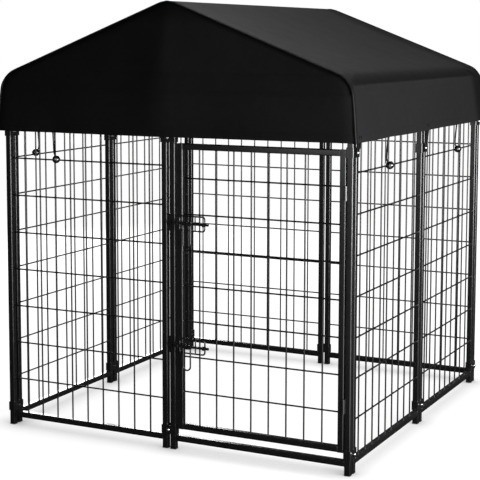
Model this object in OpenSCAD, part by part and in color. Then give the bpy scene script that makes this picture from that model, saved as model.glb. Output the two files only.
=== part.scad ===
// Outdoor dog kennel run: welded wire panels clamped into a square, an outward door with two slide
// bolts, and a gable roof frame under a fabric cover. Millimetres, front towards -Y, floor at z = 0.

/* [Wall panels] */
// Side of the square tube
tube = 19; // [16:0.5:25]
// Chamfer that stands for the tube's rounded edges
tube_edge = 1.2; // [0.6:0.1:2]
// Wall of the square tube
tube_wall = 1.4; // [1:0.1:2]
// Width of one panel over its two upright tubes
panel_w = 605; // [500:1:800]
// Height of a panel from the floor to the top of its rails
panel_h = 1027; // [900:1:1300]
// Height of the bottom rail above the floor
foot_h = 27; // [15:1:60]
// Gap between the tubes of two joined panels
joint_gap = 9; // [8.6:0.2:14]
// Bore that vents each rail into its upright tubes
vent_d = 8; // [4:0.5:10]

/* [Wire grid] */
// Diameter of the grid wire
wire_d = 5; // [3:0.25:6]
// Depth to which crossing wires are welded into each other
weld_sink = 0.5; // [0.2:0.1:1]
// Upright wires in one panel
panel_uprights = 9; // [5:1:12]
// Level wires in one panel
panel_levels = 7; // [4:1:10]

/* [Door] */
// Gap between the door and the tube that carries its hinges
hinge_gap = 3; // [2.4:0.2:6]
// Gap between the door and the tube that carries the keepers
latch_gap = 8; // [6.5:0.5:16]
// Height of the door's underside above the floor
door_bottom = 68; // [60:1:90]
// Gap between the door's top and the top rail over it
door_head_gap = 43; // [6:1:120]
// Upright wires in the door
door_uprights = 8; // [5:1:10]
// Spacing of the door's upright wires
door_pitch_x = 58.6; // [40:0.2:60]
// Level wires in the door
door_levels = 7; // [4:1:7]
// Spacing of the door's level wires, counted up from its bottom rail
door_pitch_z = 111.5; // [80:0.5:115]

/* [Hinges] */
// Rise of the lower hinge's middle above the door's underside
hinge_low_rise = 141; // [60:1:250]
// Drop of the upper hinge's middle below the door's top
hinge_high_drop = 126; // [60:1:250]
// Height of one hinge
hinge_h = 42; // [30:1:70]
// Width of a hinge leaf beside its knuckles
hinge_leaf_w = 13; // [8:0.5:14]
// Thickness of a hinge leaf
hinge_leaf_t = 2; // [1.5:0.1:3]
// Outer diameter of the hinge knuckles
knuckle_d = 9; // [8:0.5:12]
// Diameter of the hinge pin
hinge_pin_d = 5; // [3:0.5:6]

/* [Latches] */
// Rise of the lower latch rod above the door's underside
latch_low_rise = 268; // [120:1:350]
// Drop of the upper latch rod below the door's top
latch_high_drop = 245.5; // [60:0.5:350]
// Diameter of the sliding latch rod
rod_d = 8; // [6:0.5:10]
// Length of the sliding latch rod
rod_l = 120; // [114:1:140]
// Travel of the latch rod from free to latched
rod_travel = 14; // [11:0.5:14]
// Gap from the free rod's tip to its keeper
rod_tip_gap = 6; // [3:0.5:7]
// Distance of the rod's axis in front of the tubes
rod_offset = 11.5; // [11:0.1:12]
// Diameter of the cage wire
cage_wire_d = 5; // [4:0.25:5]
// Width of the cage between the middles of its end wires
cage_w = 88; // [80:1:110]
// Height of the cage between the middles of its long wires
cage_h = 45; // [36:1:60]
// Bend radius of the cage's corners
cage_bend = 8; // [6:0.5:12]
// Distance of the cage's middle wire from its right end
cage_post_inset = 33; // [20:1:38]
// Outer diameter of the rod's guide eyes and of the keeper's eye
guide_d = 13; // [12:0.2:13.6]
// Length of a guide eye along the rod
guide_l = 7.3; // [5:0.1:9]
// Diameter of the handle wire
handle_wire_d = 5; // [4:0.25:5]
// Width of the handle between its two legs
handle_w = 25; // [20:1:30]
// Drop of the handle's lowest point below the rod
handle_drop = 77; // [50:1:90]
// Distance of the handle's left leg from the door's left edge
handle_inset = 27; // [25:0.5:32]
// Outer diameter of the handle's eyes
handle_eye_d = 12; // [11:0.2:12.6]
// Height of the keeper's plate
keeper_h = 52; // [30:1:70]
// Thickness of the keeper's plate
keeper_t = 2; // [1.5:0.1:3]
// Length of the keeper's eye
keeper_l = 13; // [10:0.5:15]

/* [Clamps] */
// Height of one clamp
clamp_h = 30; // [20:1:40]
// Thickness of a clamp plate
clamp_t = 2; // [1.5:0.1:2.4]
// Depth to which a clamp plate's flanges reach along the tube
clamp_flange = 8.5; // [5:0.5:9]
// Rise of the lower clamps' middles above the bottom rails
clamp_low_rise = 16; // [16:1:40]
// Drop of the upper clamps' middles below the panels' top, on the front and rear walls
clamp_high_drop = 45; // [37:1:80]
// The same drop at the front right corner
clamp_corner_drop = 70; // [42:1:90]
// The same drop in the middle of the sides
clamp_side_drop = 100; // [42:1:110]
// Diameter of the clamp bolt
bolt_d = 5; // [4:0.5:6]
// Diameter of the bolt's domed head
bolt_head_d = 13; // [11:0.5:14]
// Height of the bolt's dome
bolt_head_h = 4.5; // [3:0.25:6]
// Diameter of the round neck under the bolt's head
bolt_neck_d = 7; // [6.5:0.25:8]
// Length of that neck
bolt_neck_l = 4.4; // [4:0.1:5]
// Width of the nut across its flats
nut_af = 8; // [7:0.25:8]
// Height of the nut
nut_h = 4; // [3:0.25:6]

/* [End caps] */
// Thickness of the foot cap under a tube
foot_cap_t = 3; // [2:0.25:6]
// Thickness of the plug's head on top of a tube
top_plug_t = 2; // [1:0.25:3]
// Depth of a cap's or plug's stem inside its tube
stem_l = 15; // [8:1:18]

/* [Roof] */
// Rise of the cover's ridge over the panels, before its crest is rounded
ridge_rise = 375; // [330:1:450]
// Slope of the roof in degrees
roof_pitch = 21.3; // [16:0.1:24]
// Diameter of the roof tubes
roof_tube_d = 19; // [16:0.5:19]
// Bend radius at the eaves of a roof tube
arch_bend = 90; // [60:1:110]
// Length of a spigot that plugs into a tube
spigot_l = 40; // [25:1:60]
// Length of the ridge connector's sleeve on each slope
sleeve_l = 15; // [8:1:30]
// Diameter of the ridge connector's tee towards the ridge pole
tee_d = 18; // [14:0.5:18.5]
// Length of that tee, from the middle of the wall
tee_l = 24; // [16:1:40]

/* [Cover] */
// Thickness of the cover's fabric with its backing
cover_t = 1.6; // [1:0.1:2.5]
// Overhang of the cover outside the walls
overhang = 19; // [18.5:0.5:30]
// Drop of the cover's hem below the panels' top
hem_drop = 41; // [22:1:60]
// Bend radius of the cover at the eaves
eave_bend = 77; // [60:1:100]
// Lean of the cover's side drops in degrees, outwards to the hem
drop_lean = 6.5; // [0:0.5:8]
// Bend radius of the cover at the ridge
crest_bend = 45; // [35:1:60]

/* [Ties] */
// Diameter of a bungee's ball
ball_d = 24; // [18:0.5:26]
// Diameter of the bungee cord
cord_d = 4; // [3:0.25:5]
// Distance between the two strands of a bungee
cord_spread = 6; // [5:0.25:8]
// Height of the balls' middles above the wire that they hold
ball_rise = 4; // [0:0.5:8]
// Diameter of the hem loops' cord
loop_d = 3; // [2:0.25:3]
// Length of cord that lies inside the hem
hem_lap = 16; // [8:1:30]
// Place of the bungee along the front wall
tie_front_x = -406; // [-410:1:-380]
// Place of the bungee along the front half of the right side
tie_right_front = -350; // [-355:1:-320]
// Place of the bungee along the front half of the left side
tie_left_front = -453.5; // [-460:0.5:-430]
// Place of the bungee along the rear half of the right side
tie_side_rear = 347; // [320:1:350]
// Place of the bungees along the rear wall, either side of its middle
tie_rear_x = 395; // [385:1:405]

/* [Hidden] */
// Clearances: a plain seat, a shaft that runs in its hole, moving pieces, loose holes, stems in tubes
seat = 0.3;
run_fit = 0.05;
keeper_fit = 0.5;
hole_fit = 0.25;
stem_fit = 0.2;
// Overshoot of a cutting tool past the face that it opens
cut = 1;

half_w = panel_w + joint_gap / 2;
half_d = half_w + tube + joint_gap;
corner_y = half_d - tube - joint_gap / 2;
pair_l = 2 * tube + joint_gap;
post_mid = tube / 2;
bore_w = tube - 2 * tube_wall;

// Grid of a panel, between the middles of its tubes
low_rail_z = foot_h + tube / 2;
panel_pitch_x = (panel_w - tube) / (panel_uprights + 1);
panel_pitch_z = (panel_h - tube - foot_h) / (panel_levels + 1);
wire_shift = (wire_d - weld_sink) / 2;
top_wire_z = low_rail_z + panel_levels * panel_pitch_z;

// Door, between the hinge gap and the latch gap
surround_x = joint_gap / 2;
door_h = panel_h - tube - door_head_gap - door_bottom;
door_top = door_bottom + door_h;
door_x0 = surround_x + tube + latch_gap;
door_x1 = surround_x + panel_w - tube - hinge_gap;
door_w = door_x1 - door_x0;
door_grid_x0 = (door_w - (door_uprights - 1) * door_pitch_x) / 2;

// Hinge axis, in front of the hinge gap
hinge_low_z = door_bottom + hinge_low_rise;
hinge_high_z = door_top - hinge_high_drop;
hinge_x = door_x1 + hinge_gap / 2;
knuckle_gap = 0.3;
knuckle_stand = 0.2;
hinge_y = -half_d - knuckle_d / 2 - knuckle_stand;
knuckle_h = (hinge_h - 2 * knuckle_gap) / 3;
leaf_start = knuckle_d / 2 + 2 * knuckle_stand;
pin_cap_d = hinge_pin_d + 2;
pin_cap_h = 1;

// Latch, from the door's left edge and the front of the tubes
latch_low_z = door_bottom + latch_low_rise;
latch_high_z = door_top - latch_high_drop;
cage_shift = 0.5;
cage_x0 = tube / 2 + cage_shift;
cage_x1 = cage_x0 + cage_w;
guide_foot = 10;
guide_x0 = 1;
guide_x1 = cage_x1 - guide_l / 2;
rod_tip_x = -latch_gap - (tube - keeper_l) / 2 + rod_tip_gap;
rod_chamfer = 1.2;
eye_l = handle_wire_d + 1;
handle_bend = handle_w / 2;
handle_leg = handle_drop - handle_wire_d / 2 - handle_bend;
sleeve_d = rod_d + 3;
keeper_x0 = -latch_gap - tube + (tube - keeper_l) / 2;
keeper_plate_w = tube - 2 * tube_edge - stem_fit;
// A middle wire is drawn slightly thinner than the wires that it ends in
wire_step = 0.4;

// Heights of the clamps, the ridge and the hem
clamp_low_z = foot_h + tube + clamp_low_rise;
clamp_high_z = panel_h - clamp_high_drop;
clamp_corner_z = panel_h - clamp_corner_drop;
clamp_side_z = panel_h - clamp_side_drop;
ridge_z = panel_h + ridge_rise;
hem_z = panel_h - hem_drop;

// Roof tubes: their middle line lies one cover and half a tube under the cover
roof_drop = cover_t + seat + roof_tube_d / 2;
arch_x = half_w - tube / 2;
arch_y = half_d - tube / 2;
arch_ridge_z = ridge_z - roof_drop / cos(roof_pitch);
arch_eave_z = arch_ridge_z - arch_x * tan(roof_pitch);
eave_turn = 90 - roof_pitch;
arch_cut = arch_bend * tan(eave_turn / 2);
ridge_bend = crest_bend - roof_drop;
crest_z = ridge_z - crest_bend / cos(roof_pitch);
ridge_axis_z = crest_z + ridge_bend;
arch_reach = arch_x / cos(roof_pitch) - arch_cut - ridge_bend * tan(roof_pitch) - sleeve_l;
roof_bore = roof_tube_d - 2 * tube_wall;
// Length of the swaged end that carries a spigot
swage_l = 10;
// The slope is drawn slightly thinner than its bend and laps into it
slope_lap = 1;
slope_step = 0.2;
spigot_d = roof_bore - 2 * stem_fit;

// Cover outline
cover_x = half_w + overhang;
cover_y = half_d + overhang;
// Where a side drop would meet the slope, and the middle of the bend between them
eave_x = (cover_x - (ridge_z - hem_z) * tan(drop_lean)) / (1 - tan(roof_pitch) * tan(drop_lean));
eave_z = ridge_z - eave_x * tan(roof_pitch);
eave_set = eave_bend / cos((eave_turn - drop_lean) / 2);
eave_mid = (eave_turn + drop_lean) / 2;
bend_x = eave_x - eave_set * cos(eave_mid);
bend_z = eave_z - eave_set * sin(eave_mid);
arc_steps = 10;

// Ties, from the outer face of the tubes
ball_y = tube / 2 - wire_shift - wire_d / 2 - seat - ball_d / 2;
ball_z = top_wire_z + ball_rise;
neck_y = -clamp_t - bolt_neck_l / 2;
loop_bend = bolt_neck_d / 2 + seat + loop_d / 2;
// A hem loop's stretched strands are thinner than its bend and run into it
loop_stretch = 0.6;
loop_sink = 0.8;
// Height of the flat on a ball, where its cord leaves it
ball_flat = 0.44 * ball_d;

steel = [0.07, 0.07, 0.075];
zinc = [0.72, 0.73, 0.75];
plastic = [0.04, 0.04, 0.04];
cloth = [0.05, 0.05, 0.055];

// Panel joints: place, turn about Z and the height of the upper clamp
joints = [
  [0, -half_d, 0, clamp_high_z],
  [0, half_d, 180, clamp_high_z],
  [half_w, -corner_y, 90, clamp_corner_z],
  [half_w, corner_y, 90, clamp_high_z],
  [-half_w, -corner_y, -90, clamp_high_z],
  [-half_w, corner_y, -90, clamp_high_z],
  [half_w, 0, 90, clamp_side_z],
  [-half_w, 0, -90, clamp_side_z]
];
// Joints whose upper bolt also holds a loop of the cover's hem
loop_joints = [joints[2], joints[6], joints[7]];
// Bungees: place on the wall's outer face and turn about Z
ties = [
  [tie_front_x, -half_d, 0],
  [half_w, tie_right_front, 90],
  [half_w, tie_side_rear, 90],
  [-half_w, tie_left_front, -90],
  [tie_rear_x, half_d, 180],
  [-tie_rear_x, half_d, 180]
];

// Shared shapes

module tube_section(side, edge) {
  far = side - edge;
  polygon([[edge, 0], [far, 0], [side, edge], [side, far], [far, side], [edge, side], [0, far], [0, edge]]);
}

module upright_tube(x, z, length) {
  translate([x, 0, z]) linear_extrude(length) difference() {
    tube_section(tube, tube_edge);
    translate([tube_wall, tube_wall]) square(bore_w);
  }
}

module level_tube(x, z, length) {
  translate([x, 0, z]) rotate([90, 0, 90]) linear_extrude(length) difference() {
    tube_section(tube, tube_edge);
    translate([tube_wall, tube_wall]) square(bore_w);
  }
}

// Square frame of two uprights and two rails, with the uprights running past the lower rail
module tube_frame(w, h, low_z, upright_z) {
  difference() {
    union() {
      for (x = [0, w - tube]) upright_tube(x, upright_z, h - upright_z);
      for (z = [low_z, h - tube]) level_tube(tube, z, w - 2 * tube);
    }
    for (z = [low_z, h - tube])
      translate([post_mid, post_mid, z + post_mid]) rotate([0, 90, 0])
        cylinder(d = vent_d, h = w - tube, $fn = 24);
  }
}

module upright_wire(x, z, length) {
  translate([x, post_mid + wire_shift, z]) cylinder(d = wire_d, h = length, $fn = 24);
}

module level_wire(x, z, length) {
  translate([x, post_mid - wire_shift, z]) rotate([0, 90, 0]) cylinder(d = wire_d, h = length, $fn = 24);
}

// Wall panel with its outer face at y = 0, standing on foot caps
module wall_panel() {
  color(steel) {
    tube_frame(panel_w, panel_h, foot_h, foot_cap_t);
    for (i = [1 : panel_uprights])
      upright_wire(post_mid + i * panel_pitch_x, foot_h + tube, panel_h - foot_h - 2 * tube);
    for (k = [1 : panel_levels])
      level_wire(tube, low_rail_z + k * panel_pitch_z, panel_w - 2 * tube);
  }
}

// Place what stands at the outer face of a wall
module at_wall(place) {
  translate([place[0], place[1], 0]) rotate([0, 0, place[2]]) children();
}

// Upper and lower clamp of every joint
module at_clamps() {
  for (j = joints)
    for (z = [clamp_low_z, j[3]])
      at_wall(j) translate([0, 0, z]) children();
}

// Every upright tube of the walls, and which ends carry a roof tube
module at_posts(corner_posts, other_posts) {
  inner = joint_gap / 2 + post_mid;
  outer = half_w - post_mid;
  for (sx = [-1, 1])
    for (sy = [-1, 1]) {
      if (corner_posts) translate([sx * outer, sy * arch_y, 0]) children();
      if (other_posts) {
        translate([sx * inner, sy * arch_y, 0]) children();
        translate([sx * outer, sy * outer, 0]) children();
        translate([sx * outer, sy * inner, 0]) children();
      }
    }
}

module at_latch(z) {
  translate([door_x0, -half_d, z]) children();
}

// Round bar along +X from a point
module bar_x(x, y, z, length, d) {
  translate([x, y, z]) rotate([0, 90, 0]) cylinder(d = d, h = length, $fn = 32);
}

// Bend of a round bar in the XZ plane: a ring sector from one angle over a turn
module bar_bend(x, y, z, bend, from, turn, d) {
  translate([x, y, z]) rotate([90, 0, 0]) rotate([0, 0, from])
    rotate_extrude(angle = turn, $fn = 48) translate([bend, 0]) circle(d = d, $fn = 32);
}

// Eye on a foot that stands on a face at y = foot_y
module eye_on_foot(x, length, foot_y) {
  bar_x(x, -rod_offset, 0, length, guide_d);
  translate([x, -rod_offset, -guide_foot / 2]) cube([length, rod_offset + foot_y, guide_foot]);
}

// Walls

module front_left_panel() {
  at_wall([-half_w, -half_d, 0]) wall_panel();
}

module right_front_panel() {
  at_wall([half_w, -half_w, 90]) wall_panel();
}

module right_rear_panel() {
  at_wall([half_w, joint_gap / 2, 90]) wall_panel();
}

module back_right_panel() {
  at_wall([half_w, half_d, 180]) wall_panel();
}

module back_left_panel() {
  at_wall([-joint_gap / 2, half_d, 180]) wall_panel();
}

module left_rear_panel() {
  at_wall([-half_w, half_w, -90]) wall_panel();
}

module left_front_panel() {
  at_wall([-half_w, -joint_gap / 2, -90]) wall_panel();
}

module door_surround() {
  color(steel) at_wall([surround_x, -half_d, 0]) tube_frame(panel_w, panel_h, foot_h, foot_cap_t);
}

// Door

module door_leaf() {
  color(steel) translate([door_x0, -half_d, door_bottom]) {
    tube_frame(door_w, door_h, 0, 0);
    for (i = [0 : door_uprights - 1])
      upright_wire(door_grid_x0 + i * door_pitch_x, tube, door_h - 2 * tube);
    for (k = [1 : door_levels])
      level_wire(tube, post_mid + k * door_pitch_z, door_w - 2 * tube);
  }
}

// Leaf of a hinge on one side of the axis, with knuckles at the given levels
module hinge_leaf(side, levels) {
  difference() {
    union() {
      translate([side > 0 ? leaf_start : -leaf_start - hinge_leaf_w, -half_d - hinge_y - hinge_leaf_t, 0])
        cube([hinge_leaf_w, hinge_leaf_t, hinge_h]);
      for (level = levels)
        translate([0, 0, level * (knuckle_h + knuckle_gap)]) {
          cylinder(d = knuckle_d, h = knuckle_h, $fn = 32);
          translate([side > 0 ? 0 : -leaf_start - 1, -half_d - hinge_y - hinge_leaf_t, 0])
            cube([leaf_start + 1, hinge_leaf_t, knuckle_h]);
        }
    }
    translate([0, 0, -cut]) cylinder(d = hinge_pin_d + 2 * run_fit, h = hinge_h + 2 * cut, $fn = 32);
  }
}

module at_hinges() {
  for (z = [hinge_low_z, hinge_high_z]) translate([hinge_x, hinge_y, z - hinge_h / 2]) children();
}

module hinge_frame_leaves() {
  color(steel) at_hinges() hinge_leaf(1, [0, 2]);
}

module hinge_door_leaves() {
  color(steel) at_hinges() hinge_leaf(-1, [1]);
}

module hinge_pins() {
  color(steel) at_hinges() {
    cylinder(d = hinge_pin_d, h = hinge_h, $fn = 32);
    for (z = [-pin_cap_h, hinge_h]) translate([0, 0, z]) cylinder(d = pin_cap_d, h = pin_cap_h, $fn = 32);
  }
}

// Latches

// Bent-wire cage on the door's left stile, with the rod's two guide eyes
module latch_cage() {
  y = -cage_wire_d / 2;
  half = cage_h / 2;
  color(steel) difference() {
    union() {
      for (z = [-half, half]) bar_x(cage_x0 + cage_bend, y, z, cage_w - 2 * cage_bend, cage_wire_d);
      for (x = [cage_x0, cage_x1])
        translate([x, y, cage_bend - half]) cylinder(d = cage_wire_d, h = cage_h - 2 * cage_bend, $fn = 32);
      for (c = [[cage_x1, 1, 0], [cage_x0, 1, 90], [cage_x0, -1, 180], [cage_x1, -1, 270]])
        bar_bend(c[0] == cage_x1 ? cage_x1 - cage_bend : cage_x0 + cage_bend, y, c[1] * (half - cage_bend),
                 cage_bend, c[2], 90, cage_wire_d);
      translate([cage_x1 - cage_post_inset, y, -half]) cylinder(d = cage_wire_d - wire_step, h = cage_h, $fn = 32);
      eye_on_foot(guide_x0, guide_l, 0);
      eye_on_foot(guide_x1, guide_l, y);
    }
    bar_x(-cut, -rod_offset, 0, cage_x1 + guide_l + 2 * cut, rod_d + 2 * run_fit);
  }
}

// Sliding rod, drawn back to where the door is free, with a sleeve that carries the handle along
module latch_rod() {
  eye = eye_l / 2 + seat;
  color(steel) {
    bar_x(rod_tip_x + rod_chamfer, -rod_offset, 0, rod_l - rod_chamfer, rod_d);
    translate([rod_tip_x, -rod_offset, 0]) rotate([0, 90, 0])
      cylinder(d1 = rod_d - 2 * rod_chamfer, d2 = rod_d, h = rod_chamfer, $fn = 32);
    bar_x(handle_inset + eye, -rod_offset, 0, handle_w - 2 * eye, sleeve_d);
  }
}

// Bail handle that hangs from two eyes on the rod
module latch_handle() {
  eye_wall = (rod_d / 2 + run_fit + handle_eye_d / 2) / 2 - wire_step;
  color(steel) difference() {
    union() {
      for (x = [handle_inset, handle_inset + handle_w]) {
        bar_x(x - eye_l / 2, -rod_offset, 0, eye_l, handle_eye_d);
        translate([x, -rod_offset, -handle_leg])
          cylinder(d = handle_wire_d, h = handle_leg - eye_wall, $fn = 32);
      }
      bar_bend(handle_inset + handle_bend, -rod_offset, -handle_leg, handle_bend, 180, 180, handle_wire_d);
    }
    bar_x(handle_inset - eye_l, -rod_offset, 0, handle_w + 2 * eye_l, rod_d + 2 * run_fit);
  }
}

// Keeper on the surround's left tube, which the rod's tip slides into
module latch_keeper() {
  color(steel) difference() {
    union() {
      translate([-latch_gap - tube / 2 - keeper_plate_w / 2, -keeper_t, -keeper_h / 2])
        cube([keeper_plate_w, keeper_t, keeper_h]);
      eye_on_foot(keeper_x0, keeper_l, -keeper_t / 2);
    }
    bar_x(keeper_x0 - cut, -rod_offset, 0, keeper_l + 2 * cut, rod_d + 2 * keeper_fit);
  }
}

module upper_latch_cage() {
  at_latch(latch_high_z) latch_cage();
}

module lower_latch_cage() {
  at_latch(latch_low_z) latch_cage();
}

module upper_latch_rod() {
  at_latch(latch_high_z) latch_rod();
}

module lower_latch_rod() {
  at_latch(latch_low_z) latch_rod();
}

module upper_latch_handle() {
  at_latch(latch_high_z) latch_handle();
}

module lower_latch_handle() {
  at_latch(latch_low_z) latch_handle();
}

module upper_keeper() {
  at_latch(latch_high_z) latch_keeper();
}

module lower_keeper() {
  at_latch(latch_low_z) latch_keeper();
}

// Clamps

// Channel plate over one side of a pair of tubes, with the tubes' face at y = 0
module clamp_plate() {
  in = pair_l / 2 + stem_fit;
  out = in + clamp_t;
  e = clamp_t / 2;
  translate([0, 0, -clamp_h / 2]) linear_extrude(clamp_h)
    polygon([[-out, clamp_flange], [-out, e - clamp_t], [-out + e, -clamp_t], [out - e, -clamp_t],
             [out, e - clamp_t], [out, clamp_flange], [in, clamp_flange], [in, 0], [-in, 0],
             [-in, clamp_flange]]);
}

module drilled_plate() {
  color(steel) difference() {
    clamp_plate();
    translate([0, cut, 0]) rotate([90, 0, 0])
      cylinder(d = bolt_d + 2 * hole_fit, h = clamp_t + 2 * cut, $fn = 32);
  }
}

module clamp_outer_plates() {
  at_clamps() drilled_plate();
}

module clamp_inner_plates() {
  at_clamps() translate([0, tube, 0]) mirror([0, 1, 0]) drilled_plate();
}

// Dome-headed bolt through the gap between the tubes, head outside
module clamp_bolts() {
  shank = clamp_t + tube + clamp_t + nut_h + bolt_d / 2;
  dome_r = (bolt_head_d * bolt_head_d / 4 + bolt_head_h * bolt_head_h) / (2 * bolt_head_h);
  color(zinc) at_clamps() translate([0, -clamp_t, 0]) rotate([-90, 0, 0]) {
    cylinder(d = bolt_d, h = shank, $fn = 32);
    translate([0, 0, -bolt_neck_l]) cylinder(d = bolt_neck_d, h = bolt_neck_l, $fn = 32);
    translate([0, 0, -bolt_neck_l]) intersection() {
      translate([0, 0, dome_r - bolt_head_h]) sphere(r = dome_r, $fn = 48);
      translate([0, 0, -bolt_head_h - cut]) cylinder(d = bolt_head_d, h = bolt_head_h + cut, $fn = 48);
    }
  }
}

module clamp_nuts() {
  across_corners = nut_af / cos(30);
  color(zinc) at_clamps() translate([0, tube + clamp_t, 0]) rotate([-90, 0, 0]) difference() {
    rotate([0, 0, 30]) cylinder(d = across_corners, h = nut_h, $fn = 6);
    translate([0, 0, -cut]) cylinder(d = bolt_d + 2 * run_fit, h = nut_h + 2 * cut, $fn = 32);
  }
}

// End caps

module foot_caps() {
  stem = bore_w - 2 * stem_fit;
  color(plastic) at_posts(true, true) {
    translate([-post_mid, -post_mid, 0]) linear_extrude(foot_cap_t) tube_section(tube, tube_edge);
    translate([-stem / 2, -stem / 2, foot_cap_t]) cube([stem, stem, stem_l]);
  }
}

module top_plugs() {
  stem = bore_w - 2 * stem_fit;
  color(plastic) at_posts(false, true) translate([0, 0, panel_h]) {
    translate([-post_mid, -post_mid, 0]) linear_extrude(top_plug_t) tube_section(tube, tube_edge);
    translate([-stem / 2, -stem / 2, -stem_l]) cube([stem, stem, stem_l]);
  }
}

// Roof frame

// Roof tube of a given diameter and length along +Z, with the wall of the square tubes
module roof_tube(d, length) {
  difference() {
    cylinder(d = d, h = length, $fn = 48);
    translate([0, 0, -cut]) cylinder(d = d - 2 * tube_wall, h = length + 2 * cut, $fn = 48);
  }
}

// Half arch on the right: spigot, leg, eave bend and slope up to the ridge connector
module half_arch() {
  leg = arch_eave_z - arch_cut - panel_h;
  swage_bore = bore_w - 4 * tube_wall;
  color(steel) translate([arch_x - arch_bend, 0, arch_eave_z - arch_cut]) {
    translate([arch_bend, 0, -leg - spigot_l]) difference() {
      union() {
        cylinder(d = bore_w - 2 * stem_fit, h = spigot_l + swage_l, $fn = 48);
        translate([0, 0, spigot_l]) cylinder(d = roof_tube_d, h = swage_l, $fn = 48);
      }
      translate([0, 0, -cut]) cylinder(d = swage_bore, h = spigot_l + swage_l + 2 * cut, $fn = 48);
    }
    translate([arch_bend, 0, swage_l - leg]) roof_tube(roof_tube_d, leg - swage_l);
    rotate([90, 0, 0]) rotate_extrude(angle = eave_turn, $fn = 96)
      translate([arch_bend, 0]) difference() {
        circle(d = roof_tube_d, $fn = 48);
        circle(d = roof_bore, $fn = 48);
      }
    rotate([0, -eave_turn, 0]) translate([arch_bend, 0, -slope_lap])
      roof_tube(roof_tube_d - slope_step, arch_reach + slope_lap);
  }
}

module front_left_arch() {
  translate([0, -arch_y, 0]) mirror([1, 0, 0]) half_arch();
}

module front_right_arch() {
  translate([0, -arch_y, 0]) half_arch();
}

module rear_left_arch() {
  translate([0, arch_y, 0]) mirror([1, 0, 0]) half_arch();
}

module rear_right_arch() {
  translate([0, arch_y, 0]) half_arch();
}

// Ridge connector of the front: a bent crest with a sleeve and a spigot on each slope, and a tee
module ridge_connector() {
  color(steel) translate([0, 0, crest_z]) {
    bar_bend(0, 0, 0, ridge_bend, eave_turn, 2 * roof_pitch, roof_tube_d);
    for (side = [0, 1])
      mirror([side, 0, 0]) rotate([0, roof_pitch, 0]) translate([0, 0, ridge_bend]) {
        bar_x(0, 0, 0, sleeve_l, roof_tube_d);
        bar_x(0, 0, 0, sleeve_l + spigot_l, spigot_d);
      }
    translate([0, 0, ridge_bend]) rotate([-90, 0, 0]) {
      cylinder(d = tee_d, h = tee_l, $fn = 48);
      cylinder(d = spigot_d, h = tee_l + spigot_l, $fn = 48);
    }
  }
}

module front_ridge_connector() {
  translate([0, -arch_y, 0]) ridge_connector();
}

module rear_ridge_connector() {
  translate([0, arch_y, 0]) mirror([0, 1, 0]) ridge_connector();
}

module ridge_pole() {
  length = 2 * (arch_y - tee_l);
  color(steel) translate([0, -length / 2, ridge_axis_z]) rotate([-90, 0, 0]) difference() {
    cylinder(d = roof_tube_d, h = length, $fn = 48);
    translate([0, 0, -cut]) cylinder(d = roof_bore, h = length + 2 * cut, $fn = 48);
  }
}

// Cover

function arc(x, z, r, from, turn) =
  [for (i = [0 : arc_steps]) [x + r * cos(from + turn * i / arc_steps), z + r * sin(from + turn * i / arc_steps)]];

// Right half of the cover's outline, from the hem to the crest, set in by a thickness
function half_outline(inset) = concat(
  [[cover_x - inset / cos(drop_lean), hem_z]],
  arc(bend_x, bend_z, eave_bend - inset, drop_lean, eave_turn - drop_lean),
  arc(0, crest_z, crest_bend - inset, eave_turn, roof_pitch));

function mirrored(points) = [for (i = [len(points) - 1 : -1 : 0]) [-points[i][0], points[i][1]]];

function backwards(points) = [for (i = [len(points) - 1 : -1 : 0]) points[i]];

// Whole outline from the right hem over the ridge to the left hem, with its crest point once
function outline(inset) =
  let (right = half_outline(inset), left = mirrored(right))
  concat(right, [for (i = [1 : len(left) - 1]) left[i]]);

module cover_roof_sheet() {
  color(cloth) translate([0, cover_y, 0]) rotate([90, 0, 0]) linear_extrude(2 * cover_y)
    polygon(concat(outline(0), backwards(outline(cover_t))));
}

module gable_sheet() {
  color(cloth) rotate([90, 0, 0]) linear_extrude(cover_t) polygon(outline(cover_t + seat));
}

module cover_front_gable() {
  translate([0, -cover_y + cover_t, 0]) gable_sheet();
}

module cover_rear_gable() {
  translate([0, cover_y, 0]) gable_sheet();
}

// Ties

// Inner face of the cover at the cords' upper ends: the side drops lean in, the gables stand upright
function cloth_at(place) =
  seat - overhang + (abs(place[2]) == 90 ? cover_t / cos(drop_lean) + hem_lap * tan(drop_lean) : cover_t);

// Straight cord in the YZ plane between two points
module strand(x, from, to, d) {
  run = to - from;
  translate([x, from[0], from[1]]) rotate([atan2(-run[0], run[1]), 0, 0])
    cylinder(d = d, h = norm(run), $fn = 24);
}

module tie_cords() {
  color(plastic) for (place = ties)
    at_wall(place) for (side = [-1, 1])
      strand(side * cord_spread / 2, [ball_y, ball_z + ball_flat + seat],
             [cloth_at(place) + cord_d / 2, hem_z + hem_lap], cord_d);
}

module tie_balls() {
  color(plastic) for (place = ties)
    at_wall(place) translate([0, ball_y, ball_z]) difference() {
      sphere(d = ball_d, $fn = 48);
      translate([-ball_d, -ball_d, ball_flat]) cube(2 * ball_d);
    }
}

module hem_loops() {
  color(plastic) for (place = loop_joints)
    at_wall(place) {
      for (side = [-1, 1])
        strand(side * loop_bend, [neck_y, place[3] - loop_sink],
               [cloth_at(place) + loop_d / 2, hem_z + hem_lap], loop_d - loop_stretch);
      bar_bend(0, neck_y, place[3], loop_bend, 180, 180, loop_d);
    }
}

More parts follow.
